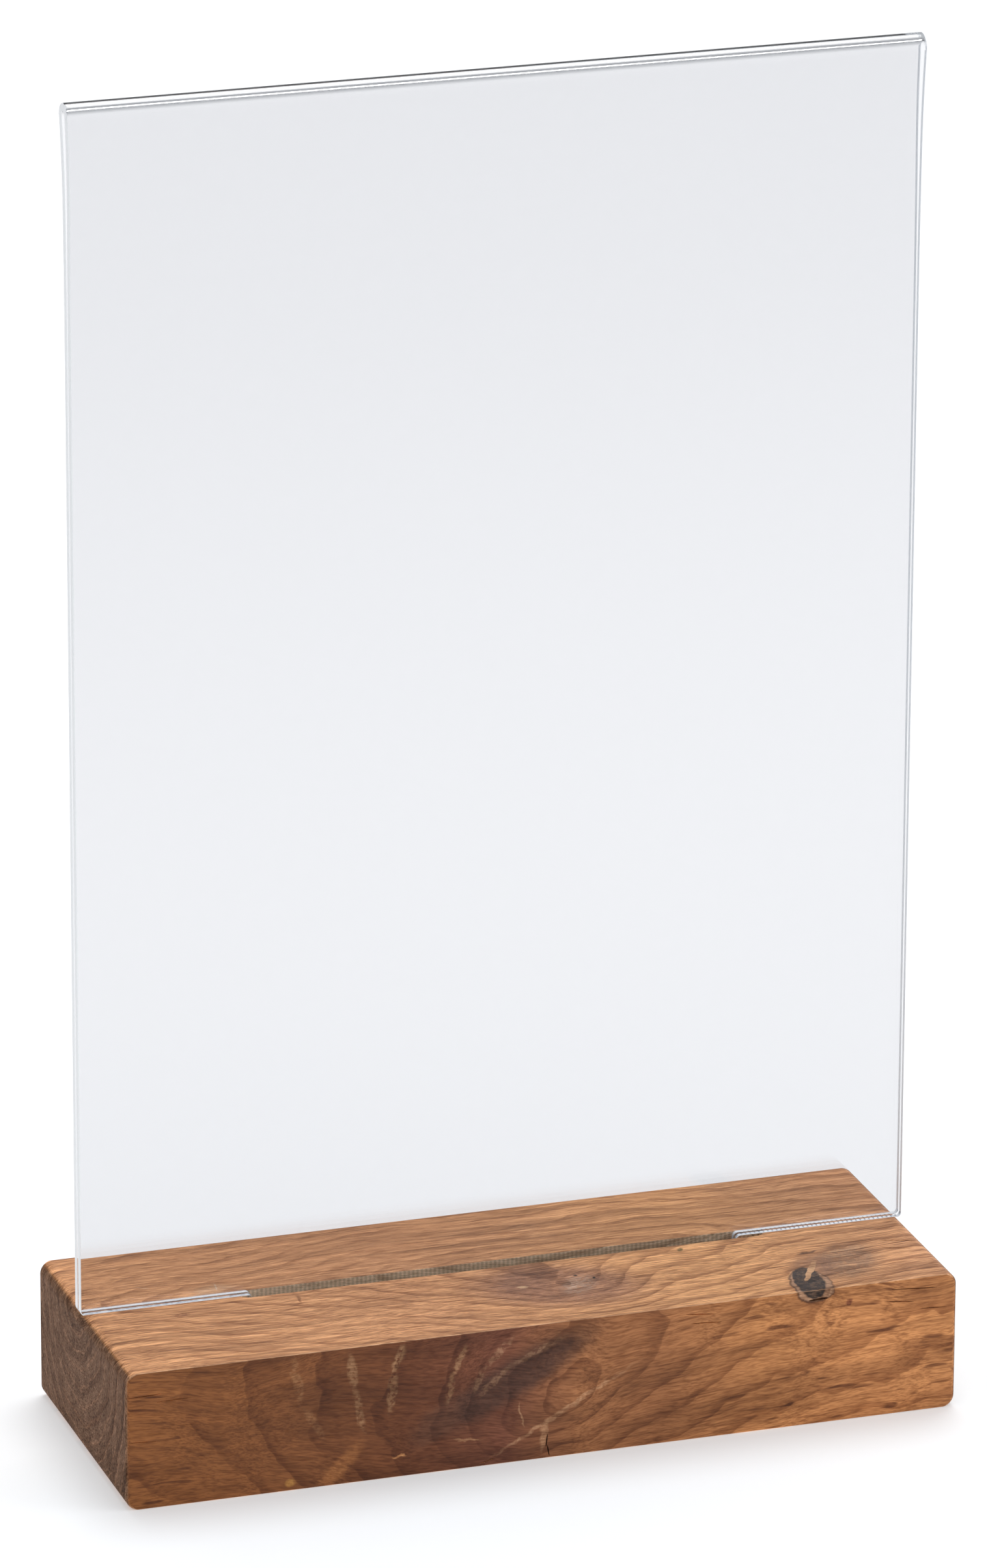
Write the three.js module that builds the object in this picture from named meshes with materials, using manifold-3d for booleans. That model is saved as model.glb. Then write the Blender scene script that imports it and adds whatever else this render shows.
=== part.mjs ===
// Table number holder: a clear acrylic sleeve, folded over at the top and cut to a T at the bottom,
// that stands by its tab in a slot routed along a solid wooden base.
// Millimetres, +Z up, front towards -Y. The origin is on the underside, below the middle of the base.
import * as THREE from "three";
import { mergeVertices } from "three/addons/utils/BufferGeometryUtils.js";
import Module from "manifold-3d";

const wasm = await Module();
wasm.setup();

// Wooden base
const baseLength = 210;
const baseDepth = 75;
const baseHeight = 35;
const endEdgeRadius = 3; // the edges that run across both ends, top and bottom
const uprightEdgeRadius = 4; // the four upright edges
const longEdgeRadius = 1; // the long edges, only broken with sandpaper

// Card that the sleeve is made for, and the acrylic sheet it is bent from
const cardWidth = 210;
const cardHeight = 297;
const cardHeadroom = 1; // left above a card that stands on the base
const cardGap = 0.8; // between the front and the back sheet
const sheetThickness = 2;

// Sleeve: the bottom is cut away at both sides, so that a tab is left between two shoulders
const tabWidth = 124;
const tabLength = 16;
const tabFootRadius = 3; // the tab's lower corners
const tabNeckRadius = 1; // where the tab meets the shoulders
const shoulderRadius = 1.2; // the sleeve's outer lower corners
const foldCornerRadius = 0.8; // the sleeve's upper corners

// Slot, routed with a round cutter
const slotSetback = 3; // its centre line lies this far behind the middle of the base
const slotPlay = 1.2; // wider than the sleeve by this much
const slotBackClearance = 0.3; // the share of that play behind the sleeve
const slotEndClearance = 0.3; // from the tab to where the slot's left end starts to turn
const slotEndPlay = 7.4; // from the tab to the slot's right end
const slotFloorClearance = 4; // under the tab

const arcSteps = 8; // facets in a quarter turn

const sleeveThickness = 2 * sheetThickness + cardGap;
const sleeveWidth = cardWidth;
const shoulderZ = baseHeight; // the shoulders stand on the base
const sleeveTopZ = shoulderZ + cardHeight + cardHeadroom + sheetThickness;
const tabBottomZ = shoulderZ - tabLength;
const slotWidth = sleeveThickness + slotPlay;
const slotFloorZ = tabBottomZ - slotFloorClearance;
const sleeveY = slotSetback + slotWidth / 2 - slotBackClearance - sleeveThickness / 2;
const throughAll = 2 * (baseLength + baseDepth + sleeveTopZ); // a cutter this long passes right through

// A closed outline through [x, y, radius] corners, each rounded by an arc of its radius.
function roundedOutline(corners) {
  const shape = new THREE.Shape();
  corners.forEach(([x, y, radius], i) => {
    const corner = new THREE.Vector2(x, y);
    const [beforeX, beforeY] = corners[(i + corners.length - 1) % corners.length];
    const [afterX, afterY] = corners[(i + 1) % corners.length];
    const toBefore = new THREE.Vector2(beforeX, beforeY).sub(corner).normalize();
    const toAfter = new THREE.Vector2(afterX, afterY).sub(corner).normalize();
    const halfAngle = Math.acos(toBefore.dot(toAfter)) / 2;
    const reach = radius / Math.tan(halfAngle);
    const start = corner.clone().addScaledVector(toBefore, reach);
    const end = corner.clone().addScaledVector(toAfter, reach);
    const bisector = toBefore.clone().add(toAfter).normalize();
    const centre = corner.clone().addScaledVector(bisector, radius / Math.sin(halfAngle));
    const clockwise = toBefore.cross(toAfter) > 0;
    if (i === 0) shape.moveTo(start.x, start.y);
    else shape.lineTo(start.x, start.y);
    shape.absarc(
      centre.x,
      centre.y,
      radius,
      Math.atan2(start.y - centre.y, start.x - centre.x),
      Math.atan2(end.y - centre.y, end.x - centre.x),
      clockwise,
    );
  });
  return shape;
}

function roundedRectangle(width, height, radius, centreY = 0) {
  const [x, low, high] = [width / 2, centreY - height / 2, centreY + height / 2];
  return roundedOutline([
    [-x, low, radius],
    [x, low, radius],
    [x, high, radius],
    [-x, high, radius],
  ]);
}

// An outline pushed along an axis, half its depth each way: drawn in XY and pushed along Z,
// drawn in XZ and pushed along Y, or drawn in YZ and pushed along X.
function extrudeAlong(axis, outline, depth) {
  const geometry = new THREE.ExtrudeGeometry(outline, {
    depth,
    bevelEnabled: false,
    curveSegments: arcSteps,
  });
  geometry.translate(0, 0, -depth / 2);
  if (axis === "y") geometry.rotateX(Math.PI / 2);
  if (axis === "x") {
    const [x, y, z] = [new THREE.Vector3(1, 0, 0), new THREE.Vector3(0, 1, 0), new THREE.Vector3(0, 0, 1)];
    geometry.applyMatrix4(new THREE.Matrix4().makeBasis(y, z, x));
  }
  return geometry;
}

// A closed geometry as a solid that can be cut and joined.
function solidOf(geometry) {
  const bare = geometry.clone();
  bare.deleteAttribute("normal");
  bare.deleteAttribute("uv");
  const merged = mergeVertices(bare, 1e-4);
  return new wasm.Manifold(
    new wasm.Mesh({
      numProp: 3,
      vertProperties: merged.attributes.position.array,
      triVerts: new Uint32Array(merged.index.array),
    }),
  );
}

function meshOf(name, solid, material) {
  const { vertProperties, triVerts } = solid.getMesh();
  const geometry = new THREE.BufferGeometry();
  geometry.setAttribute("position", new THREE.BufferAttribute(new Float32Array(vertProperties), 3));
  geometry.setIndex(new THREE.BufferAttribute(new Uint32Array(triVerts), 1));
  geometry.computeVertexNormals();
  const mesh = new THREE.Mesh(geometry, material);
  mesh.name = name;
  return mesh;
}

// The block before anything is cut into it: three rounded bars that cross, and what they share.
function baseBlank() {
  const plan = roundedRectangle(baseLength, baseDepth, uprightEdgeRadius);
  const front = roundedRectangle(baseLength, baseHeight, endEdgeRadius, baseHeight / 2);
  const end = roundedRectangle(baseDepth, baseHeight, longEdgeRadius, baseHeight / 2);
  return solidOf(extrudeAlong("z", plan, throughAll))
    .intersect(solidOf(extrudeAlong("y", front, throughAll)))
    .intersect(solidOf(extrudeAlong("x", end, throughAll)));
}

// The slot's cutter: round at both ends, and open at the top.
function slotCutter() {
  const endRadius = slotWidth / 2;
  const left = -tabWidth / 2 - slotEndClearance - endRadius;
  const right = tabWidth / 2 + slotEndPlay;
  const outline = new THREE.Shape();
  outline.absarc(right - endRadius, 0, endRadius, -Math.PI / 2, Math.PI / 2, false);
  outline.absarc(left + endRadius, 0, endRadius, Math.PI / 2, (3 * Math.PI) / 2, false);
  const height = 2 * (baseHeight - slotFloorZ);
  const geometry = extrudeAlong("z", outline, height);
  geometry.translate(0, slotSetback, slotFloorZ + height / 2);
  return solidOf(geometry);
}

// The folded sheet seen from the side: two walls, and the half turn that joins them at the top.
function foldedSheet() {
  const outerRadius = sleeveThickness / 2;
  const innerRadius = cardGap / 2;
  const centreZ = sleeveTopZ - outerRadius;
  const profile = new THREE.Shape();
  profile.moveTo(outerRadius, tabBottomZ);
  profile.lineTo(outerRadius, centreZ); // an arc right after a moveTo would skip the wall's foot
  profile.absarc(0, centreZ, outerRadius, 0, Math.PI, false);
  profile.lineTo(-outerRadius, tabBottomZ);
  profile.lineTo(-innerRadius, tabBottomZ);
  profile.absarc(0, centreZ, innerRadius, Math.PI, 0, true);
  profile.lineTo(innerRadius, tabBottomZ);
  return solidOf(extrudeAlong("x", profile, sleeveWidth));
}

// The same sheet seen from the front: a T upside down, with the tab below the shoulders.
function sleeveFront() {
  const half = sleeveWidth / 2;
  const tab = tabWidth / 2;
  return roundedOutline([
    [-tab, tabBottomZ, tabFootRadius],
    [tab, tabBottomZ, tabFootRadius],
    [tab, shoulderZ, tabNeckRadius],
    [half, shoulderZ, shoulderRadius],
    [half, sleeveTopZ, foldCornerRadius],
    [-half, sleeveTopZ, foldCornerRadius],
    [-half, shoulderZ, shoulderRadius],
    [-tab, shoulderZ, tabNeckRadius],
  ]);
}

function sleeveSolid() {
  const cut = solidOf(extrudeAlong("y", sleeveFront(), throughAll));
  return foldedSheet().intersect(cut);
}

const oiledWood = new THREE.MeshStandardMaterial({ color: 0xa87850, roughness: 0.55, metalness: 0 });
const clearAcrylic = new THREE.MeshStandardMaterial({
  color: 0xeef1f4,
  roughness: 0.05,
  metalness: 0,
  transparent: true,
  opacity: 0.3,
});

const base = meshOf("wooden_base", baseBlank().subtract(slotCutter()), oiledWood);
const sleeve = meshOf("acrylic_sleeve", sleeveSolid(), clearAcrylic);
sleeve.position.y = sleeveY;

const holder = new THREE.Group();
holder.add(base, sleeve);

export default holder;
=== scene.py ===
# A table number holder: a folded clear acrylic sleeve standing in a slotted block of oiled oak.
import math

import bmesh
import bpy
from mathutils import Matrix, Vector


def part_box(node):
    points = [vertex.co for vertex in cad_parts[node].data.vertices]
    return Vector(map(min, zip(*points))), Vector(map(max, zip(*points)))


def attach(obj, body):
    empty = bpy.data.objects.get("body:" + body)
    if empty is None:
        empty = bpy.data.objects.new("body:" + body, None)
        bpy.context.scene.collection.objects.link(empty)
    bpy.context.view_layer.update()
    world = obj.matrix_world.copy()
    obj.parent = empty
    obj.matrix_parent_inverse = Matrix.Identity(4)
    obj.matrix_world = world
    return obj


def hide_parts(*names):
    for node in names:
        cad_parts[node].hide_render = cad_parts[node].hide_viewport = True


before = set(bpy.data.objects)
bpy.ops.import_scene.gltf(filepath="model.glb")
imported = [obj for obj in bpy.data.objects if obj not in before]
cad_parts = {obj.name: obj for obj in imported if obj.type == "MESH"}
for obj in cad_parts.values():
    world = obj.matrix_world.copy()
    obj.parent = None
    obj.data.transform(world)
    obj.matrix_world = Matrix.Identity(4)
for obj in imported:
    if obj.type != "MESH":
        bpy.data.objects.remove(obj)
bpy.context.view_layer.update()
scene = bpy.context.scene
mm = 0.001


def linear(hexColour):  # sRGB hex to the linear colour that shaders take
    channels = [int(hexColour[i:i + 2], 16) / 255 for i in (1, 3, 5)]
    return tuple(c / 12.92 if c <= 0.04045 else ((c + 0.055) / 1.055) ** 2.4 for c in channels) + (1,)


def addNode(tree, kind, settings=None, links=None):
    node = tree.nodes.new("ShaderNode" + kind)
    for key, value in (settings or {}).items():
        if isinstance(key, str) and hasattr(node, key):
            setattr(node, key, value)
        else:
            node.inputs[key].default_value = value
    for key, source in (links or {}).items():
        tree.links.new(source, node.inputs[key])
    return node


def newMaterial(name):  # a material with nothing but its output
    material = bpy.data.materials.new(name)
    material.use_nodes = True
    material.node_tree.nodes.clear()
    return material, material.node_tree, addNode(material.node_tree, "OutputMaterial")


def setRamp(node, stops):  # stops are (position, hex colour)
    elements = node.color_ramp.elements
    while len(elements) < len(stops):
        elements.new(0.5)
    for element, (position, colour) in zip(elements, stops):
        element.position = position
        element.color = linear(colour)
    return node


def meshObject(name, bm, materials):
    mesh = bpy.data.meshes.new(name)
    bm.to_mesh(mesh)
    bm.free()
    piece = bpy.data.objects.new(name, mesh)
    for material in materials:
        mesh.materials.append(material)
    scene.collection.objects.link(piece)
    return piece


# ---- oak ----
oak = {
    "pith": (5, 40),  # y and z of the tree's heart, mm
    "branchPoint": (6, -37.5, 12.8),  # where the heart of a hidden branch comes out of the front, mm
    "branchRun": (0.19, 0.69, 0.71),
    "branchBroad": (0.88, 0, 0.47),  # the branch is broader this way
    "branchStretch": 2.0,
    "branchLift": (88, 42),  # how far the branch swells the rings to its left and to its right, mm
    "branchReach": (60, 22),  # and over what distance, mm
    "ringWidth": 6.8,  # mm
    # the front's colours lighten towards the right: partly the wood's own tone, with darker heartwood on the left,
    # and partly painted light, where light falls more strongly on the right of the front
    "frontColours": [
        (0.0, "#824F27"), (0.21, "#724424"), (0.32, "#64381E"), (0.45, "#6B3E2B"),
        (0.54, "#905D39"), (0.64, "#935F3A"), (0.76, "#B07647"), (0.9, "#BB7E4D"), (1.0, "#B47949"),
    ],
    "topColours": [(0.0, "#DEA16F"), (0.4, "#D69A6B"), (0.75, "#E7AA73"), (1.0, "#D89E71")],
    "endColour": "#83644F",
    "slotColourAndLight": "#FFDCB8",  # bare wood, paler than the oiled faces, and painted paler still as painted light where little light reaches into the slot
    "hatchWidth": 1.1,  # the router bit's marks on the slot's walls, mm
}
# marks in the wood: place, turn in degrees about y (front) or z (top), radii, colour, strength, grit
frontMarks = [
    ((-9, -37.5, 21.4), 27, (26, 9, 6), "#4C3024", 0.95, 0.15),  # the dark heart of the branch
    ((-28, -37.5, 12.5), 40, (9, 7, 4.4), "#5E3A28", 0.7, 0.3),
    ((-52, -37.5, 4.5), 45, (9, 5, 2.4), "#A56B3C", 0.5, 0.3),
    ((4.4, -37.5, 11.9), 28.5, (22, 3, 0.7), "#BF936E", 0.5, 0.6),  # a pale healed split
    ((-0.6, -37.5, 5.8), 80, (4.2, 2, 1), "#B98E69", 0.6, 0.5),
    ((-6.4, -37.5, 12), -75, (3.4, 2, 0.35), "#B98E69", 0.6, 0.3),
    ((-20, -37.5, 7.4), -10, (4.4, 2, 0.35), "#B3855F", 0.5, 0.3),
    ((-37.2, -37.5, 5.3), 4, (1.9, 1, 0.4), "#CF9360", 0.9, 0.2),
    ((-64.4, -37.5, 2), 0, (1.4, 1, 1), "#AE7C3E", 0.7, 0.4),
    ((77.2, -37.5, 30.8), 0, (1.1, 1, 0.9), "#6E3522", 0.9, 0.2),
    ((-62.6, -37.5, 28), -80, (7, 4, 1.4), "#A87C54", 0.3, 1),  # pale rays that cross the fibres
    ((-58.4, -37.5, 16.6), -60, (5, 4, 1.3), "#A87C54", 0.3, 1),
    ((-48.9, -37.5, 29), -82, (5, 4, 1.3), "#B08862", 0.44, 1),
    ((-47.2, -37.5, 19), -79, (7, 4, 1.2), "#B08862", 0.36, 1),
    ((-37.2, -37.5, 31), 70, (3.8, 4, 1.4), "#B08862", 0.48, 1),
    ((-38.9, -37.5, 22.8), 84, (7, 4, 1.3), "#B08862", 0.48, 1),
    ((-22.2, -37.5, 27.8), 67, (5, 4, 1.1), "#B08862", 0.42, 1),
    ((-24.5, -37.5, 21), 80, (4.4, 4, 1.1), "#B08862", 0.4, 1),
    ((-12.2, -37.5, 28.9), 45, (5.8, 4, 1.1), "#A67E5E", 0.4, 1),
    ((-17.2, -37.5, 22.2), 66, (3.8, 4, 1.1), "#A67E5E", 0.4, 1),
    ((-1.6, -37.5, 28.4), 24, (8.8, 4, 1), "#A27A5A", 0.34, 1),
    ((-13.3, -37.5, 21.6), 42, (5.6, 4, 1), "#A27A5A", 0.34, 1),
]
topMarks = [
    ((10, -15.8, 35), -18, (24, 15, 6), "#8F6350", 0.75, 0.2),  # the branch, cut across below
    ((4, -8, 35), 60, (12, 7, 4), "#946A55", 0.5, 0.3),
    ((15, -16.9, 35), 50, (7, 4.4, 2), "#C8AD98", 0.5, 1),
    ((1.7, -14.2, 35), -5, (1.7, 0.9, 1), "#E2BA92", 1, 0),
    ((16, -10.8, 35), 0, (0.7, 0.6, 1), "#2A1C16", 1, 0),
    ((20, -13.8, 35), 0, (0.6, 0.6, 1), "#2A1C16", 1, 0),
    ((45.8, -3, 35), 75, (1.4, 0.9, 1), "#6E5A2E", 0.9, 0.3),
    ((-52, -5, 35), 86, (2.6, 0.5, 1), "#96613C", 0.8, 0.2),
    ((-82, -5.8, 35), 10, (3, 1.2, 1), "#8A5230", 0.7, 0.6),
    ((-86, 15, 35), -40, (1.8, 0.3, 1), "#EFC7A4", 1, 0),
    ((-69, 10, 35), 80, (2.2, 0.35, 1), "#E9D0B4", 1, 0),
    ((-70, 8.5, 35), 10, (6, 3.5, 1), "#C6A583", 0.5, 0.4),
    ((82, -22, 35), 60, (13, 9, 5), "#94755F", 0.75, 0.4),  # smoky wood beside the knot
    ((72, -25, 35), 66, (12, 6.5, 4), "#86604E", 0.6, 0.2),
    ((74.6, -14.4, 35), 12, (3.4, 0.7, 1), "#4A2E24", 0.8, 0.2),
    ((68.8, -33.4, 34.6), 84, (9.4, 5.2, 3.2), "#4A2C20", 0.9, 0.1, "crisp"),  # the knot's rim
    ((68.9, -33.4, 34.6), 84, (9, 4.8, 2.8), "#C29878", 1, 0.15, "crisp"),  # the pale wood within it
    ((68.9, -31.8, 35), 82, (9.2, 3.7, 2.7), "#40342E", 1, 0.2, "crisp"),  # its grey, crumbled heart
    ((71.4, -25.4, 35), 61, (6.6, 0.9, 1.6), "#C99C74", 1, 0, "crisp"),
]


def addMarks(tree, colour, ragged, grit, marks, axis):
    for place, turn, radii, tint, strength, gritShare, *edge in marks:
        rotation = [0, 0, 0]
        rotation[axis] = math.radians(-turn if axis == 1 else turn)
        local = addNode(tree, "Mapping", {"vector_type": "TEXTURE", "Location": place, "Rotation": rotation,
                                          "Scale": radii}, {"Vector": ragged})
        reach = addNode(tree, "VectorMath", {"operation": "LENGTH"}, {0: local.outputs[0]}).outputs["Value"]
        outline, core = (1.06, 0.92) if edge else (1.15, 0.5)
        inside = addNode(tree, "MapRange", {"interpolation_type": "SMOOTHSTEP", "From Min": outline,
                                            "From Max": core, "To Max": strength}, {"Value": reach}).outputs[0]
        if gritShare:
            broken = addNode(tree, "MapRange", {"From Min": 0.38, "From Max": 0.54, "To Min": 1 - gritShare},
                             {"Value": grit}).outputs[0]
            inside = addNode(tree, "Math", {"operation": "MULTIPLY"}, {0: inside, 1: broken}).outputs[0]
        colour = addNode(tree, "Mix", {"data_type": "RGBA", 7: linear(tint)}, {0: inside, 6: colour}).outputs[2]
    return colour


def oakMaterial(name, routed=False, gloss=0.25):
    material, tree, output = newMaterial(name)
    coordinates = addNode(tree, "TexCoord")
    rawPlace = addNode(tree, "VectorMath", {"operation": "SCALE", "Scale": 1000},
                       {0: coordinates.outputs["Object"]}).outputs[0]  # mm
    sway = addNode(tree, "TexNoise", {"Scale": 0.022, "Detail": 2}, {"Vector": rawPlace})
    centred = addNode(tree, "VectorMath", {"operation": "SUBTRACT", 1: (0.5, 0.5, 0.5)},
                      {0: sway.outputs["Color"]})
    swayed = addNode(tree, "VectorMath", {"operation": "SCALE", "Scale": 7}, {0: centred.outputs[0]})
    place = addNode(tree, "VectorMath", {"operation": "ADD"}, {0: rawPlace, 1: swayed.outputs[0]}).outputs[0]
    alongGrain = addNode(tree, "SeparateXYZ", links={0: rawPlace}).outputs[0]

    # the trunk's rings
    heartY, heartZ = oak["pith"]
    fromHeart = addNode(tree, "VectorMath", {"operation": "SUBTRACT", 1: (0, heartY, heartZ)}, {0: place})
    across = addNode(tree, "VectorMath", {"operation": "MULTIPLY", 1: (0, 1, 1)}, {0: fromHeart.outputs[0]})
    trunk = addNode(tree, "VectorMath", {"operation": "LENGTH"}, {0: across.outputs[0]}).outputs["Value"]
    parts = addNode(tree, "SeparateXYZ", links={0: across.outputs[0]})
    below = addNode(tree, "Math", {"operation": "MULTIPLY", 1: -1}, {0: parts.outputs[2]})
    turn = addNode(tree, "Math", {"operation": "ARCTAN2"}, {0: parts.outputs[1], 1: below.outputs[0]})
    girth = addNode(tree, "Math", {"operation": "MULTIPLY"}, {0: turn.outputs[0], 1: trunk}).outputs[0]

    # the branch that swells them
    run = Vector(oak["branchRun"]).normalized()
    broad = Vector(oak["branchBroad"])
    broad = (broad - run * broad.dot(run)).normalized()
    narrow = run.cross(broad)
    fromBranch = addNode(tree, "VectorMath", {"operation": "SUBTRACT", 1: oak["branchPoint"]}, {0: place})
    sideways = [
        addNode(tree, "VectorMath", {"operation": "DOT_PRODUCT", 1: way}, {0: fromBranch.outputs[0]})
        for way in (broad / oak["branchStretch"], narrow)
    ]
    flat = addNode(tree, "CombineXYZ", links={0: sideways[0].outputs["Value"], 1: sideways[1].outputs["Value"]})
    branch = addNode(tree, "VectorMath", {"operation": "LENGTH"}, {0: flat.outputs[0]}).outputs["Value"]
    lift, spread = [
        addNode(tree, "MapRange", {"interpolation_type": "SMOOTHSTEP", "From Min": -15, "From Max": 30,
                                   "To Min": oak[key][0], "To Max": oak[key][1]}, {"Value": alongGrain}).outputs[0]
        for key in ("branchLift", "branchReach")
    ]
    fade = addNode(tree, "Math", {"operation": "DIVIDE"}, {0: branch, 1: spread})
    fade = addNode(tree, "Math", {"operation": "MULTIPLY", 1: -1}, {0: fade.outputs[0]})
    fade = addNode(tree, "Math", {"operation": "EXPONENT"}, {0: fade.outputs[0]})
    swell = addNode(tree, "Math", {"operation": "SUBTRACT", 0: 1}, {1: fade.outputs[0]})
    swell = addNode(tree, "Math", {"operation": "MULTIPLY"}, {0: swell.outputs[0], 1: lift}).outputs[0]
    age = addNode(tree, "Math", {"operation": "ADD"}, {0: trunk, 1: swell})
    uneven = addNode(tree, "TexNoise", {"Scale": 0.05, "Detail": 3}, {"Vector": rawPlace})
    age = addNode(tree, "Math", {"operation": "MULTIPLY_ADD", 1: 11}, {0: uneven.outputs[0], 2: age.outputs[0]})
    rings = addNode(tree, "Math", {"operation": "DIVIDE", 1: oak["ringWidth"]}, {0: age.outputs[0]})
    rings = addNode(tree, "Math", {"operation": "FRACT"}, {0: rings.outputs[0]})
    lateWood = addNode(tree, "FloatCurve", links={"Value": rings.outputs[0]})
    curve = lateWood.mapping.curves[0]
    curve.points[0].location = (0, 0.1)
    curve.points[1].location = (1, 0.1)
    for spot in ((0.5, 0.15), (0.86, 0.8), (0.95, 1.0)):
        curve.points.new(*spot)
    lateWood.mapping.update()
    strongRings = addNode(tree, "TexNoise", {"Scale": 0.06, "Detail": 2}, {"Vector": rawPlace})
    leastRing = addNode(tree, "MapRange", {"From Min": -20, "From Max": 50, "To Min": 0.45, "To Max": 0.8},
                        {"Value": alongGrain})
    strongRings = addNode(tree, "MapRange", {"From Min": 0.4, "From Max": 0.62},
                          {"Value": strongRings.outputs[0], "To Min": leastRing.outputs[0]})
    ringLines = addNode(tree, "Math", {"operation": "MULTIPLY"},
                        {0: lateWood.outputs[0], 1: strongRings.outputs[0]}).outputs[0]

    # fibres and pores run along the grain, round the branch
    lean = addNode(tree, "Math", {"operation": "MULTIPLY_ADD", 1: 0.17}, {0: swell, 2: trunk}).outputs[0]
    grains = {}
    for grain, length, thickness, width, detail in (
            ("fine", 3, 0.22, 0.22, 1), ("pores", 7, 0.42, 0.42, 2), ("streaks", 34, 0.9, 0.9, 3),
            ("bands", 90, 5, 5, 2), ("lines", 85, 2.3, 2.3, 2), ("checks", 12, 0.9, 0.9, 0),
            ("endPores", 20, 0.42, 1.3, 3)):
        stretched = addNode(tree, "CombineXYZ")
        for socket, source, size in ((0, alongGrain, length), (1, lean, thickness), (2, girth, width)):
            shrunk = addNode(tree, "Math", {"operation": "DIVIDE", 1: size}, {0: source})
            tree.links.new(shrunk.outputs[0], stretched.inputs[socket])
        grains[grain] = addNode(tree, "TexNoise", {"Scale": 1, "Detail": detail, "Roughness": 0.6},
                                {"Vector": stretched.outputs[0]}).outputs[0]

    # which way the surface faces
    facing = addNode(tree, "NewGeometry")
    sizes = addNode(tree, "VectorMath", {"operation": "ABSOLUTE"}, {0: facing.outputs["Normal"]})
    facingParts = addNode(tree, "SeparateXYZ", links={0: sizes.outputs[0]})
    endOn = addNode(tree, "MapRange", {"interpolation_type": "SMOOTHSTEP", "From Min": 0.45, "From Max": 0.8},
                    {"Value": facingParts.outputs[0]}).outputs[0]
    frontOn = addNode(tree, "MapRange", {"interpolation_type": "SMOOTHSTEP", "From Min": 0.5, "From Max": 0.8},
                      {"Value": facingParts.outputs[1]}).outputs[0]
    share = addNode(tree, "MapRange", {"From Min": -105, "From Max": 105}, {"Value": alongGrain}).outputs[0]
    frontColour = setRamp(addNode(tree, "ValToRGB", links={0: share}), oak["frontColours"])
    topColour = setRamp(addNode(tree, "ValToRGB", links={0: share}), oak["topColours"])
    colour = addNode(tree, "Mix", {"data_type": "RGBA"},
                     {0: frontOn, 6: topColour.outputs[0], 7: frontColour.outputs[0]})
    colour = addNode(tree, "Mix", {"data_type": "RGBA", 7: linear(oak["endColour"])},
                     {0: endOn, 6: colour.outputs[2]}).outputs[2]
    # inside the slot the wood takes the slot colour, painted pale as painted light where little light reaches
    if routed:
        colour = addNode(tree, "Mix", {"data_type": "RGBA", 0: 1, 7: linear(oak["slotColourAndLight"])},
                         {6: colour}).outputs[2]
    else:
        wobble = addNode(tree, "TexNoise", {"Scale": 0.35, "Detail": 4}, {"Vector": rawPlace})
        wobble = addNode(tree, "VectorMath", {"operation": "SUBTRACT", 1: (0.5, 0.5, 0.5)},
                         {0: wobble.outputs["Color"]})
        wobble = addNode(tree, "VectorMath", {"operation": "SCALE", "Scale": 2.2}, {0: wobble.outputs[0]})
        ragged = addNode(tree, "VectorMath", {"operation": "ADD"}, {0: rawPlace, 1: wobble.outputs[0]}).outputs[0]
        grit = addNode(tree, "TexNoise", {"Scale": 0.9, "Detail": 3, "Roughness": 0.65},
                       {"Vector": rawPlace}).outputs[0]
        colour = addMarks(tree, colour, ragged, grit, frontMarks, 1)
        colour = addMarks(tree, colour, ragged, grit, topMarks, 2)

    # painted highlight: the long edges between the faces and the top are lightened, standing for the highlight along
    # their rounded arris and for oil that sanding wears off
    edgeHighlightAndWear = addNode(tree, "Math", {"operation": "MULTIPLY"},
                   {0: facingParts.outputs[1], 1: facingParts.outputs[2]}).outputs[0]
    edgeHighlightAndWear = addNode(tree, "MapRange", {"From Min": 0.2, "From Max": 0.45, "To Max": 0.6}, {"Value": edgeHighlightAndWear})
    colour = addNode(tree, "Mix", {"data_type": "RGBA", 7: linear("#DDB08A")},
                     {0: edgeHighlightAndWear.outputs[0], 6: colour}).outputs[2]

    # thin dark lines where the early pores of each year lie
    poreLines = addNode(tree, "Math", {"operation": "SUBTRACT", 1: 0.5}, {0: grains["lines"]})
    poreLines = addNode(tree, "Math", {"operation": "ABSOLUTE"}, {0: poreLines.outputs[0]}).outputs[0]
    lineShare = addNode(tree, "MapRange", {"From Min": -40, "From Max": 40, "To Min": 0.35, "To Max": 0.9},
                        {"Value": alongGrain})
    lineShare = addNode(tree, "MapRange", {"From Min": 0.8, "From Max": 0.5, "To Max": 1},
                        {"Value": facingParts.outputs[1], "To Min": lineShare.outputs[0]}).outputs[0]

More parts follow.
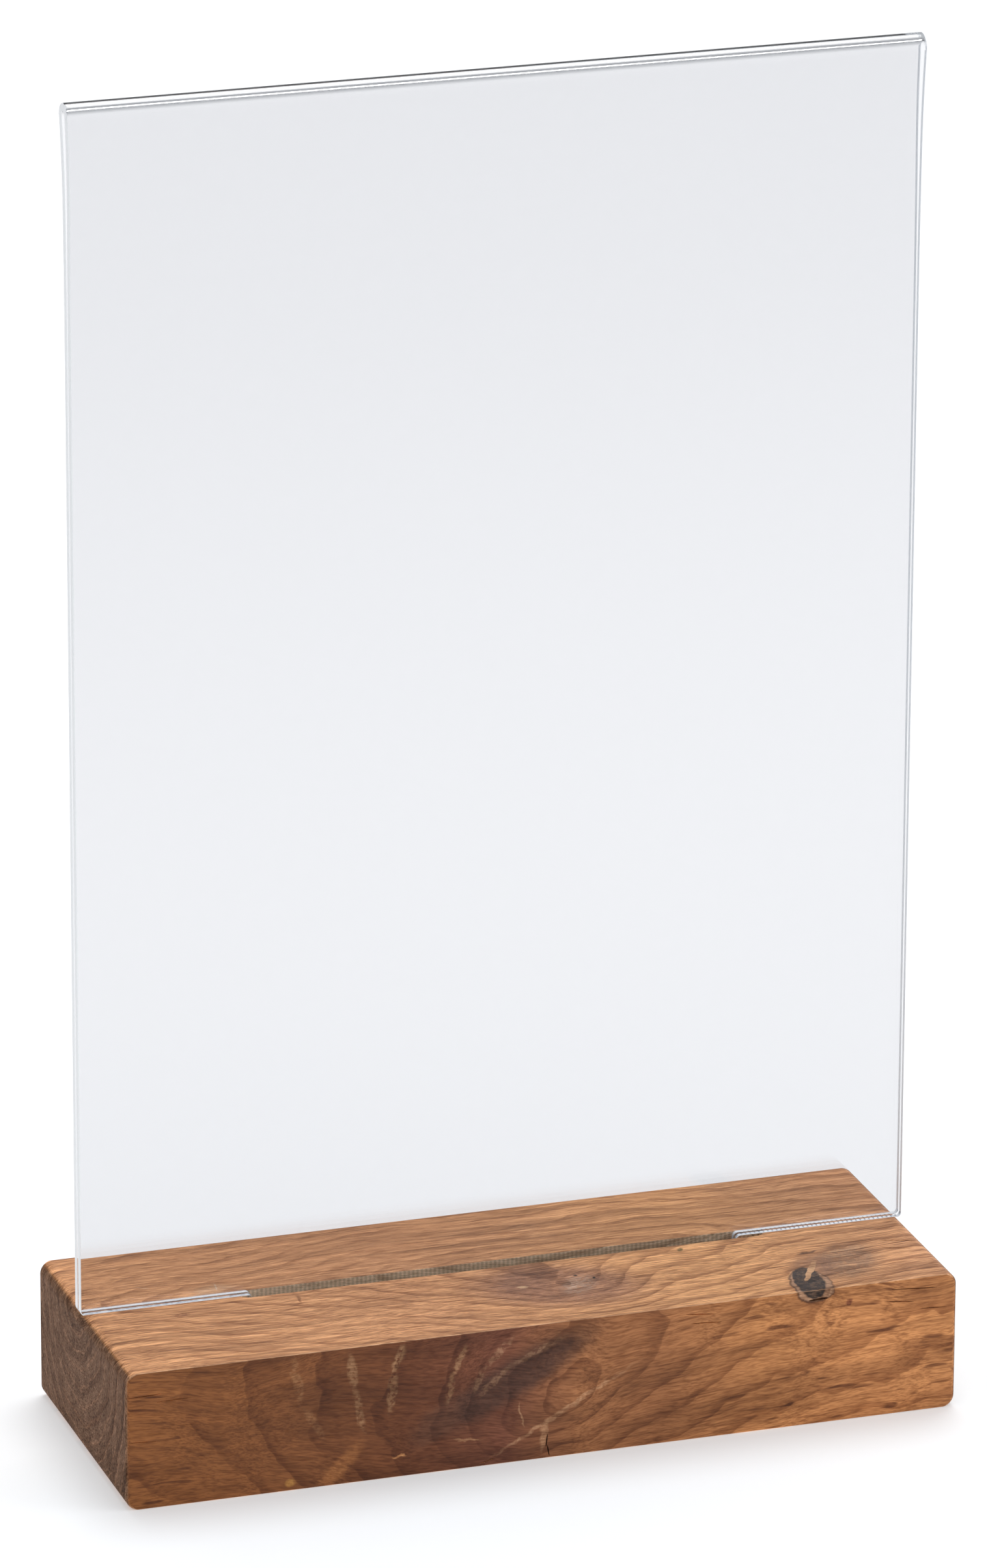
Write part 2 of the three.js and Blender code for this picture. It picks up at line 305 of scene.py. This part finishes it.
    # tones: each layer multiplies the wood by a tint between its dark and its light one
    farEnds = addNode(tree, "MapRange", {"From Min": -60, "From Max": -100}, {"Value": alongGrain})
    farEnds = addNode(tree, "MapRange", {"From Min": 20, "From Max": 60},
                      {"Value": alongGrain, "To Min": farEnds.outputs[0]}).outputs[0]
    endRings = addNode(tree, "Math", {"operation": "MULTIPLY", 1: 1.8 / oak["ringWidth"]}, {0: age.outputs[0]})
    endRings = addNode(tree, "Math", {"operation": "PINGPONG", 1: 0.5}, {0: endRings.outputs[0]}).outputs[0]
    softFront = addNode(tree, "MapRange", {"To Min": 1, "To Max": 0.45}, {"Value": frontOn}).outputs[0]
    tones = (
        (ringLines, 1, 0, (0.6, 0.52, 0.46), (1.05, 1.05, 1.05), None),
        (poreLines, 0, 0.035, (0.66, 0.6, 0.55), (1, 1, 1), lineShare),
        (grains["fine"], 0.36, 0.58, (0.76, 0.71, 0.67), (1.08, 1.09, 1.1), None),
        (endRings, 0, 0.12, (1.5, 1.48, 1.46), (1, 1, 1), endOn),
        (grains["endPores"], 0.66, 0.4, (0.56, 0.54, 0.52), (1, 1, 1), endOn),
        (grains["bands"], 0.3, 0.7, (0.74, 0.71, 0.68), (1.24, 1.26, 1.28), None),
        (grains["streaks"], 0.32, 0.68, (0.74, 0.69, 0.65), (1.22, 1.24, 1.25), softFront),
        (grains["pores"], 0.34, 0.56, (0.6, 0.53, 0.48), (1.13, 1.15, 1.16), softFront),
        (grains["checks"], 0.22, 0.32, (0.45, 0.38, 0.34), (1, 1, 1), farEnds),
    )
    for source, darkAt, lightAt, darkTint, lightTint, where in tones:
        tone = addNode(tree, "MapRange", {"From Min": darkAt, "From Max": lightAt}, {"Value": source}).outputs[0]
        if where:
            away = addNode(tree, "Math", {"operation": "SUBTRACT", 0: 1}, {1: where})
            tone = addNode(tree, "Math", {"operation": "MULTIPLY_ADD"},
                           {0: tone, 1: where, 2: away.outputs[0]}).outputs[0]
        tint = addNode(tree, "Mix", {"data_type": "RGBA", 6: (*darkTint, 1), 7: (*lightTint, 1)}, {0: tone})
        colour = addNode(tree, "VectorMath", {"operation": "MULTIPLY"},
                         {0: colour, 1: tint.outputs[2]}).outputs[0]
    if routed:
        turns = addNode(tree, "Math", {"operation": "MULTIPLY", 1: math.tau / oak["hatchWidth"]}, {0: alongGrain})
        waves = addNode(tree, "Math", {"operation": "SINE"}, {0: turns.outputs[0]})
        hatch = addNode(tree, "MapRange", {"From Min": -1, "To Min": 0.8, "To Max": 1.1},
                        {"Value": waves.outputs[0]})
        colour = addNode(tree, "VectorMath", {"operation": "SCALE"},
                         {0: colour, "Scale": hatch.outputs[0]}).outputs[0]

    pits = addNode(tree, "MapRange", {"From Min": 0.34, "From Max": 0.46}, {"Value": grains["pores"]}).outputs[0]
    bump = addNode(tree, "Bump", {"Strength": 0.35, "Distance": 0.15 * mm}, {"Height": pits})
    shine = addNode(tree, "MapRange", {"To Min": 0.66, "To Max": 0.5}, {"Value": pits})
    wood = addNode(tree, "BsdfPrincipled", {"IOR": 1.5, "Specular IOR Level": gloss},
                   {"Base Color": colour, "Roughness": shine.outputs[0], "Normal": bump.outputs[0]})
    tree.links.new(wood.outputs[0], output.inputs[0])
    return material


block = {
    "endRadius": 3,  # across both ends, top and bottom, mm
    "uprightRadius": 4,
    "longRadius": 0.8,  # the long edges are only broken
    "slotWidth": 6,
    "slotSetback": 3,  # behind the middle
    "slotLeft": -65.3,
    "slotRight": 69.4,
    "slotFloor": 15,
    "slotLip": 0.3,
    "arcSteps": 8,
    "cracks": [  # place mm, turn in degrees, length, width and depth mm: about y on the front, about z on the top
        ("y", (0.1, -37.5, 4.6), 84, 3.4, 0.34, 1.4), ("y", (0.5, -37.5, 1.9), 100, 3, 0.3, 1.2),
        ("y", (69.2, -37.5, 32.5), 3, 5, 0.6, 2.2), ("y", (-15, -37.5, 1.2), 14, 4, 0.25, 0.8),
        ("y", (-100.6, -37.5, 29), 2, 9, 0.3, 0.8), ("y", (-93.6, -37.5, 27.2), 1, 8, 0.28, 0.8),
        ("y", (-100.8, -37.5, 17.3), -3, 7, 0.26, 0.8), ("y", (39, -37.5, 32.4), -6, 8, 0.3, 0.8),
        ("y", (40.5, -37.5, 30), -3, 8, 0.3, 0.8), ("y", (94, -37.5, 32.2), -4, 12, 0.3, 0.9),
        ("y", (90, -37.5, 29.3), -6, 8, 0.28, 0.8), ("y", (99, -37.5, 26.6), -3, 7, 0.26, 0.8),
        ("z", (98.5, -13.4, 35), -17, 9, 0.34, 0.9), ("z", (97, -18.2, 35), -22, 8, 0.3, 0.8),
    ],
}


def runsAlong(edge, axis):
    run = (edge.verts[1].co - edge.verts[0].co).normalized()
    return abs(run[axis]) > 0.999


def slotCutter():
    bm = bmesh.new()
    radius = block["slotWidth"] / 2 * mm
    middle = (block["slotLeft"] + block["slotRight"]) / 2 * mm
    bmesh.ops.create_circle(bm, cap_ends=True, segments=6 * block["arcSteps"], radius=radius)
    reach = (block["slotRight"] - block["slotLeft"]) / 2 * mm - radius
    for end in (-1, 1):
        half = [v for v in bm.verts if v.co.x * end > radius * 0.001]
        bmesh.ops.translate(bm, verts=half, vec=(end * reach, 0, 0))
    bmesh.ops.translate(bm, verts=bm.verts[:], vec=(middle, block["slotSetback"] * mm, block["slotFloor"] * mm))
    risen = bmesh.ops.extrude_face_region(bm, geom=bm.faces[:])
    rim = [v for v in risen["geom"] if isinstance(v, bmesh.types.BMVert)]
    bmesh.ops.translate(bm, verts=rim, vec=(0, 0, 40 * mm))
    bmesh.ops.recalc_face_normals(bm, faces=bm.faces[:])
    return meshObject("slotCutter", bm, [])


def crackCutter():  # thin lens-shaped chips, one for each crack
    bm = bmesh.new()
    for about, place, turn, length, width, depth in block["cracks"]:
        made = bmesh.ops.create_circle(bm, cap_ends=True, segments=14, radius=1)
        lens = made["verts"]
        grown = bmesh.ops.extrude_face_region(bm, geom=list(lens[0].link_faces))
        lifted = [v for v in grown["geom"] if isinstance(v, bmesh.types.BMVert)]
        bmesh.ops.translate(bm, verts=lifted, vec=(0, 0, 1))
        chip = lens + lifted
        bmesh.ops.translate(bm, verts=chip, vec=(0, 0, -0.5))
        bmesh.ops.scale(bm, verts=chip, vec=(length / 2 * mm, width / 2 * mm, 2 * depth * mm))
        if about == "y":
            bmesh.ops.rotate(bm, verts=chip, matrix=Matrix.Rotation(math.radians(90), 3, "X"))
        angle = math.radians(-turn if about == "y" else turn)
        bmesh.ops.rotate(bm, verts=chip, matrix=Matrix.Rotation(angle, 3, about.upper()))
        bmesh.ops.translate(bm, verts=chip, vec=Vector(place) * mm)
    bmesh.ops.recalc_face_normals(bm, faces=bm.faces[:])
    return meshObject("crackCutter", bm, [])


def woodenBlock():
    low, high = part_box("wooden_base")
    centre, size = (low + high) / 2, high - low
    bm = bmesh.new()
    bmesh.ops.create_cube(bm, size=1, matrix=Matrix.Translation(centre) @ Matrix.Diagonal((*size, 1)))
    bmesh.ops.bevel(bm, geom=[e for e in bm.edges if runsAlong(e, 1)], offset=block["endRadius"] * mm,
                    offset_type="OFFSET", segments=block["arcSteps"], profile=0.5, affect="EDGES", material=-1)
    weights = bm.edges.layers.float.new("bevel_weight_edge")
    softest = block["longRadius"] / block["uprightRadius"]
    for edge in bm.edges:
        middle = (edge.verts[0].co + edge.verts[1].co) / 2
        atFace = max(abs(v.co.y - centre.y) for v in edge.verts) > size.y / 2 - 0.01 * mm
        if not atFace or runsAlong(edge, 1):
            continue
        inFromEnd = size.x / 2 - abs(middle.x)
        edge[weights] = max(softest, 1 - inFromEnd / (block["endRadius"] * mm)) if not runsAlong(edge, 0) else softest
    # oiled oak: sawn, sanded and oiled, a warm satin brown with open pores drawn out along the grain
    # routed oak: bare wood inside the slot, paler and dull, with the router bit's marks across it; its colour is
    # painted paler still, as painted light in the narrow slot
    # end grain oak: sawn across, it drinks the oil, so it is grey-brown and matt, ringed by the years
    piece = meshObject("oakBlock", bm, [oakMaterial("oiledOak"), oakMaterial("routedOak", routed=True),
                                        oakMaterial("endGrainOak", gloss=0.02)])
    soften = piece.modifiers.new("soften", "BEVEL")
    soften.limit_method = "WEIGHT"
    soften.width = block["uprightRadius"] * mm
    soften.segments = block["arcSteps"]
    for cutter in (slotCutter(), crackCutter()):
        cut = piece.modifiers.new(cutter.name, "BOOLEAN")
        cut.object = cutter
        cut.solver = "EXACT"
    return bakeModifiers(piece)


def bakeModifiers(piece):  # puts what the modifiers make into the mesh, and removes their helpers
    helpers = [m.object for m in piece.modifiers if m.type == "BOOLEAN"]
    shape = bpy.data.meshes.new_from_object(piece.evaluated_get(bpy.context.evaluated_depsgraph_get()))
    piece.modifiers.clear()
    piece.data = shape
    for helper in helpers:
        bpy.data.objects.remove(helper)
    return piece


def easeSlotLip(piece):
    bm = bmesh.new()
    bm.from_mesh(piece.data)
    bmesh.ops.remove_doubles(bm, verts=bm.verts[:], dist=0.001 * mm)
    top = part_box("wooden_base")[1].z
    left, right = block["slotLeft"] * mm, block["slotRight"] * mm
    lip = [
        e for e in bm.edges
        if all(abs(v.co.z - top) < 0.01 * mm and left - mm < v.co.x < right + mm for v in e.verts)
        and all(abs(v.co.y - block["slotSetback"] * mm) < block["slotWidth"] * 0.52 * mm for v in e.verts)
        and e.calc_face_angle(0) > 1
    ]
    bmesh.ops.bevel(bm, geom=lip, offset=block["slotLip"] * mm, offset_type="OFFSET", segments=2, profile=0.5,
                    affect="EDGES", material=-1)
    for face in bm.faces:
        face.smooth = True
        centre = face.calc_center_median()
        inSlot = abs(centre.y - block["slotSetback"] * mm) < block["slotWidth"] * 0.51 * mm
        inSlot = inSlot and left - mm < centre.x < right + mm and 10 * mm < centre.z < top - 0.1 * mm
        face.material_index = 1 if inSlot else 2 if abs(face.normal.x) > 0.6 else 0
    bm.to_mesh(piece.data)
    bm.free()
    piece.data.set_sharp_from_angle(angle=math.radians(35))
    weighted = piece.modifiers.new("weightedNormals", "WEIGHTED_NORMAL")
    weighted.keep_sharp = True


base = woodenBlock()
easeSlotLip(base)
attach(base, "base")
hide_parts("wooden_base")
print("oak block made:", len(base.data.polygons), "faces")


# ---- acrylic sleeve ----
sleeve = {
    "sheet": 2,  # thickness, mm
    "tabHalf": 62,
    "tabLength": 16,
    "footRadius": 3,
    "neckRadius": 1,
    "shoulderRadius": 1.2,
    "arris": 0.15,  # the cut edges are just broken
    "chatter": 1.15,  # spacing of the saw's marks, mm
    "foldSteps": 32,
    "bulb": 1,  # the hot fold stays this much fatter on each side than the sheets below it
    "bulbReach": 60,
    "fallCuts": (2, 4, 6, 9, 13, 18, 24, 31, 39, 48, 60),  # rows of points under the fold, mm down
    "flare": 0.5,  # the fold squeezes out this far at its ends
    "flareReach": 6,
    "flareDrop": 24,
}


def castAcrylic():  # cast acrylic sheet, as supplied: clear, flat and glossy, faintly blue-grey
    material, tree, output = newMaterial("castAcrylic")
    low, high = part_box("acrylic_sleeve")
    outer = (high.y - low.y) / 2 + sleeve["bulb"] * mm
    inner = outer - sleeve["sheet"] * mm
    foldAxis = (0, (low.y + high.y) / 2, high.z - outer)
    colour = linear("#F0F0F1")
    # painted shade: the acrylic is greyed along the crest and darkened along the crease inside it, standing for the
    # dark bands that the bend of the fold throws
    coordinates = addNode(tree, "TexCoord").outputs["Object"]
    around = addNode(tree, "VectorMath", {"operation": "SUBTRACT", 1: foldAxis}, {0: coordinates})
    around = addNode(tree, "VectorMath", {"operation": "MULTIPLY", 1: (0, 1, 1)}, {0: around.outputs[0]}).outputs[0]
    radius = addNode(tree, "VectorMath", {"operation": "LENGTH"}, {0: around}).outputs["Value"]
    height = addNode(tree, "SeparateXYZ", links={0: around}).outputs[2]
    for tint, least, most, start, full in (
            ("#B9BABC", outer - 0.5 * mm, outer + mm, outer * 0.6, outer * 0.84),
            ("#6E6F73", 0, inner + 0.3 * mm, inner * 0.72, inner * 0.9)):
        near = addNode(tree, "MapRange", {"interpolation_type": "SMOOTHSTEP", "From Min": start, "From Max": full},
                       {"Value": height}).outputs[0]
        for operation, limit in (("GREATER_THAN", least), ("LESS_THAN", most)):
            within = addNode(tree, "Math", {"operation": operation, 1: limit}, {0: radius})
            near = addNode(tree, "Math", {"operation": "MULTIPLY"}, {0: near, 1: within.outputs[0]}).outputs[0]
        mixed = addNode(tree, "Mix", {"data_type": "RGBA", 7: linear(tint)}, {0: near})
        if isinstance(colour, tuple):
            mixed.inputs[6].default_value = colour
        else:
            tree.links.new(colour, mixed.inputs[6])
        colour = mixed.outputs[2]
    clear = addNode(tree, "BsdfPrincipled", {
        "IOR": 1.49, "Roughness": 0.0, "Transmission Weight": 1.0,
    }, {"Base Color": colour})
    through = addNode(tree, "BsdfTransparent", {"Color": linear("#F4F6F8")})
    path = addNode(tree, "LightPath")
    either = addNode(tree, "Math", {"operation": "MAXIMUM"},
                     {0: path.outputs["Is Shadow Ray"], 1: path.outputs["Is Diffuse Ray"]})
    mixed = addNode(tree, "MixShader", links={0: either.outputs[0], 1: clear.outputs[0], 2: through.outputs[0]})
    tree.links.new(mixed.outputs[0], output.inputs[0])
    return material


def sawnAcrylic():  # acrylic, saw cut and scraped: a fine frost that gathers light and looks white
    material, tree, output = newMaterial("sawnAcrylic")
    low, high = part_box("acrylic_sleeve")
    coordinates = addNode(tree, "TexCoord").outputs["Object"]
    parts = addNode(tree, "SeparateXYZ", links={0: coordinates})
    fromMiddle = addNode(tree, "Math", {"operation": "SUBTRACT", 1: (low.y + high.y) / 2}, {0: parts.outputs[1]})
    fromMiddle = addNode(tree, "Math", {"operation": "ABSOLUTE"}, {0: fromMiddle.outputs[0]})
    # painted shade: the inner part of each sheet's cut edge, at the tab and the shoulders, is greyed, standing for
    # the grey gap between the sheets, with specks on the left and the saw's marks on the right
    inner = addNode(tree, "MapRange", {"From Min": 1.7 * mm, "From Max": 1.3 * mm}, {"Value": fromMiddle.outputs[0]})
    specks = addNode(tree, "TexNoise", {"Scale": 900, "Detail": 2}, {"Vector": coordinates})
    specks = addNode(tree, "MapRange", {"From Min": 0.35, "From Max": 0.65, "To Min": 0.35, "To Max": 1},
                     {"Value": specks.outputs[0]})
    turns = addNode(tree, "Math", {"operation": "MULTIPLY", 1: math.tau / (sleeve["chatter"] * mm)},
                    {0: parts.outputs[0]})
    teeth = addNode(tree, "Math", {"operation": "SINE"}, {0: turns.outputs[0]})
    teeth = addNode(tree, "MapRange", {"From Min": 0.1, "From Max": 0.7}, {"Value": teeth.outputs[0]})
    rightSide = addNode(tree, "MapRange", {"From Min": 0.05, "From Max": 0.08}, {"Value": parts.outputs[0]})
    grey = addNode(tree, "Mix", links={0: rightSide.outputs[0], 2: specks.outputs[0], 3: teeth.outputs[0]})
    shoulder = low.z + (sleeve["tabLength"] + 1) * mm
    foot = addNode(tree, "Math", {"operation": "LESS_THAN", 1: shoulder}, {0: parts.outputs[2]})
    inner = addNode(tree, "Math", {"operation": "MULTIPLY"}, {0: inner.outputs[0], 1: foot.outputs[0]})
    grey = addNode(tree, "Math", {"operation": "MULTIPLY"}, {0: grey.outputs[0], 1: inner.outputs[0]})
    colour = addNode(tree, "Mix", {"data_type": "RGBA", 6: linear("#FBFCFD"), 7: linear("#A3A8B2")},
                     {0: grey.outputs[0]})
    frost = addNode(tree, "BsdfPrincipled", {
        "IOR": 1.49, "Roughness": 0.4, "Transmission Weight": 0.2,
    }, {"Base Color": colour.outputs[2]})
    tree.links.new(frost.outputs[0], output.inputs[0])
    return material


def cutAcross(bm, place, way):
    bmesh.ops.bisect_plane(bm, geom=bm.verts[:] + bm.edges[:] + bm.faces[:], plane_co=place, plane_no=way)


def drawDown(bm, level, reach):  # the lowest faces within reach of the middle are extruded down to a level
    lowest = min(v.co.z for v in bm.verts)
    feet = [
        f for f in bm.faces
        if all(v.co.z < lowest + 0.01 * mm for v in f.verts) and abs(f.calc_center_median().x) < reach
    ]
    grown = bmesh.ops.extrude_face_region(bm, geom=feet)
    bmesh.ops.delete(bm, geom=feet, context="FACES_ONLY")
    tips = [v for v in grown["geom"] if isinstance(v, bmesh.types.BMVert)]
    bmesh.ops.translate(bm, verts=tips, vec=(0, 0, level - lowest))


def acrylicSleeve():
    low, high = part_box("acrylic_sleeve")
    middle = (low + high) / 2
    half = high.x - middle.x
    bulb = sleeve["bulb"] * mm
    outer = (high.y - low.y) / 2 + bulb
    foldZ = high.z - outer
    tabHalf = sleeve["tabHalf"] * mm
    shoulderZ = low.z + sleeve["tabLength"] * mm

    # the sheet's section, at the foot of the fold, spun over to the back
    bm = bmesh.new()
    bmesh.ops.create_grid(bm, x_segments=1, y_segments=1, size=0.5)
    bmesh.ops.scale(bm, verts=bm.verts[:], vec=(2 * half, sleeve["sheet"] * mm, 1))
    bmesh.ops.translate(bm, verts=bm.verts[:], vec=(middle.x, low.y - bulb + sleeve["sheet"] / 2 * mm, foldZ))
    bmesh.ops.spin(bm, geom=bm.faces[:], cent=(0, middle.y, foldZ), axis=(1, 0, 0), angle=-math.pi,
                   steps=sleeve["foldSteps"], use_duplicate=False)
    bmesh.ops.remove_doubles(bm, verts=bm.verts[:], dist=0.001 * mm)

    # both walls drawn down to the shoulders, and the tab below them
    drawDown(bm, shoulderZ, half)
    inFromEnd = [half - gap * mm for gap in (0.8, 1.6, 2.6, 4, 6)] + [tabHalf]
    for x in [side * place for side in (-1, 1) for place in inFromEnd]:
        cutAcross(bm, (middle.x + x, 0, 0), (1, 0, 0))
    drawDown(bm, low.z, tabHalf)
    for drop in sleeve["fallCuts"]:
        cutAcross(bm, (0, 0, foldZ - drop * mm), (0, 0, 1))
    bmesh.ops.recalc_face_normals(bm, faces=bm.faces[:])

    corners = (
        (tabHalf, low.z, sleeve["footRadius"]),
        (tabHalf, shoulderZ, sleeve["neckRadius"]),
        (half, shoulderZ, sleeve["shoulderRadius"]),
    )
    for x, z, radius in corners:
        edges = [
            e for e in bm.edges
            if runsAlong(e, 1) and abs(abs(e.verts[0].co.x - middle.x) - x) < 0.01 * mm
            and abs(e.verts[0].co.z - z) < 0.01 * mm
        ]
        bmesh.ops.bevel(bm, geom=edges, offset=radius * mm, offset_type="OFFSET", segments=6, profile=0.5,
                        affect="EDGES", material=-1)

    # the walls come together below the fold
    for vert in bm.verts:
        fall = min(max((foldZ - vert.co.z) / (sleeve["bulbReach"] * mm), 0), 1)
        vert.co.y -= math.copysign(bulb * math.sin(fall * math.pi / 2), vert.co.y - middle.y) if fall else 0

    # heat and pressure squeeze the fold out a little at its ends
    for vert in bm.verts:
        reach = (abs(vert.co.x - middle.x) - half) / mm + sleeve["flareReach"]
        rise = (vert.co.z - foldZ) / mm + sleeve["flareDrop"]
        if reach > 0 and rise > 0:
            swell = (reach / sleeve["flareReach"]) ** 3 * min(rise / sleeve["flareDrop"], 1) ** 2
            vert.co.x += math.copysign(sleeve["flare"] * mm * swell, vert.co.x - middle.x)

    for face in bm.faces:
        centre = face.calc_center_median()
        onEnd = abs(face.normal.x) > 0.5
        onFoot = abs(face.normal.z) > 0.3 and centre.z < shoulderZ + 2 * mm
        face.material_index = 1 if onEnd or onFoot else 0
        face.smooth = centre.z > foldZ and not onEnd
    rims = [e for e in bm.edges if len({f.material_index for f in e.link_faces}) == 2]
    bmesh.ops.bevel(bm, geom=rims, offset=sleeve["arris"] * mm, offset_type="OFFSET", segments=1, profile=0.5,
                    affect="EDGES", material=1)
    piece = meshObject("acrylicSleeve", bm, [castAcrylic(), sawnAcrylic()])
    return piece


holder = acrylicSleeve()
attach(holder, "sleeve")
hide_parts("acrylic_sleeve")
print("acrylic sleeve made:", len(holder.data.polygons), "faces")


# ---- stage, light and camera ----
stage = {
    "floor": 30,  # m
    "floorColour": "#E0E0E0",
    "nearShadeColour": "#98989C",  # painted shade: the floor greys a little towards the camera, which tones the sleeve's reflection
    "floorGlow": 0.42,
    "skyStrength": 0.72,
    "lamps": [  # name, place m, aim m, size m, watts
        ("overhead", (0.4, 0.9, 2.6), (0, 0, 0), 1.6, 34),
        ("rightFill", (2.6, -1.2, 1.2), (0, 0, 0.1), 1.4, 14),
    ],
}


def paintedFloor():  # matt white painted board that glows evenly; it greys towards the camera as painted shade
    material, tree, output = newMaterial("mattWhitePaint")
    coordinates = addNode(tree, "TexCoord")
    parts = addNode(tree, "SeparateXYZ", links={0: coordinates.outputs["Object"]})
    near = addNode(tree, "MapRange", {"interpolation_type": "SMOOTHSTEP", "From Min": -0.25, "From Max": -1.1},
                   {"Value": parts.outputs[1]})
    colour = addNode(tree, "Mix", {"data_type": "RGBA", 6: linear(stage["floorColour"]),
                                   7: linear(stage["nearShadeColour"])}, {0: near.outputs[0]})
    paint = addNode(tree, "BsdfPrincipled", {
        "Roughness": 0.9, "Specular IOR Level": 0.1, "Emission Strength": stage["floorGlow"],
    }, {"Base Color": colour.outputs[2], "Emission Color": colour.outputs[2]})
    tree.links.new(paint.outputs[0], output.inputs[0])
    return material


def layFloor():
    bm = bmesh.new()
    bmesh.ops.create_grid(bm, x_segments=1, y_segments=1, size=stage["floor"] / 2)
    floor = meshObject("floor", bm, [paintedFloor()])


def hangLamp(name, place, aim, size, watts):
    lamp = bpy.data.lights.new(name, "AREA")
    lamp.shape = "DISK"
    lamp.size = size
    lamp.energy = watts
    light = bpy.data.objects.new(name, lamp)
    light.location = place
    light.rotation_euler = (Vector(aim) - Vector(place)).to_track_quat("-Z", "Y").to_euler()
    scene.collection.objects.link(light)


def lightSky():
    world = bpy.data.worlds.new("studio")
    world.use_nodes = True
    background = world.node_tree.nodes["Background"]
    background.inputs["Color"].default_value = linear("#F4F7FB")
    background.inputs["Strength"].default_value = stage["skyStrength"]
    scene.world = world


view = {
    "place": (-0.688, -2.061, 0.921),  # m
    "azimuth": -18.42,  # degrees
    "elevation": 19.32,
    "roll": 0.24,
    "lens": 221.6,  # mm, on a 36 mm sensor
}


def setCamera():
    lens = bpy.data.cameras.new("camera")
    lens.sensor_width = 36
    lens.lens = view["lens"]
    camera = bpy.data.objects.new("camera", lens)
    azimuth, elevation = math.radians(view["azimuth"]), math.radians(view["elevation"])
    forward = Vector((-math.sin(azimuth) * math.cos(elevation), math.cos(azimuth) * math.cos(elevation),
                      -math.sin(elevation)))
    turned = forward.to_track_quat("-Z", "Y").to_matrix().to_4x4()
    rolled = Matrix.Rotation(math.radians(view["roll"]), 4, "Z")
    camera.matrix_world = Matrix.Translation(view["place"]) @ turned @ rolled
    scene.collection.objects.link(camera)
    scene.camera = camera


layFloor()
for lampSettings in stage["lamps"]:
    hangLamp(*lampSettings)
lightSky()
setCamera()
scene.view_settings.view_transform = "Standard"
print("stage, lamps and camera set")
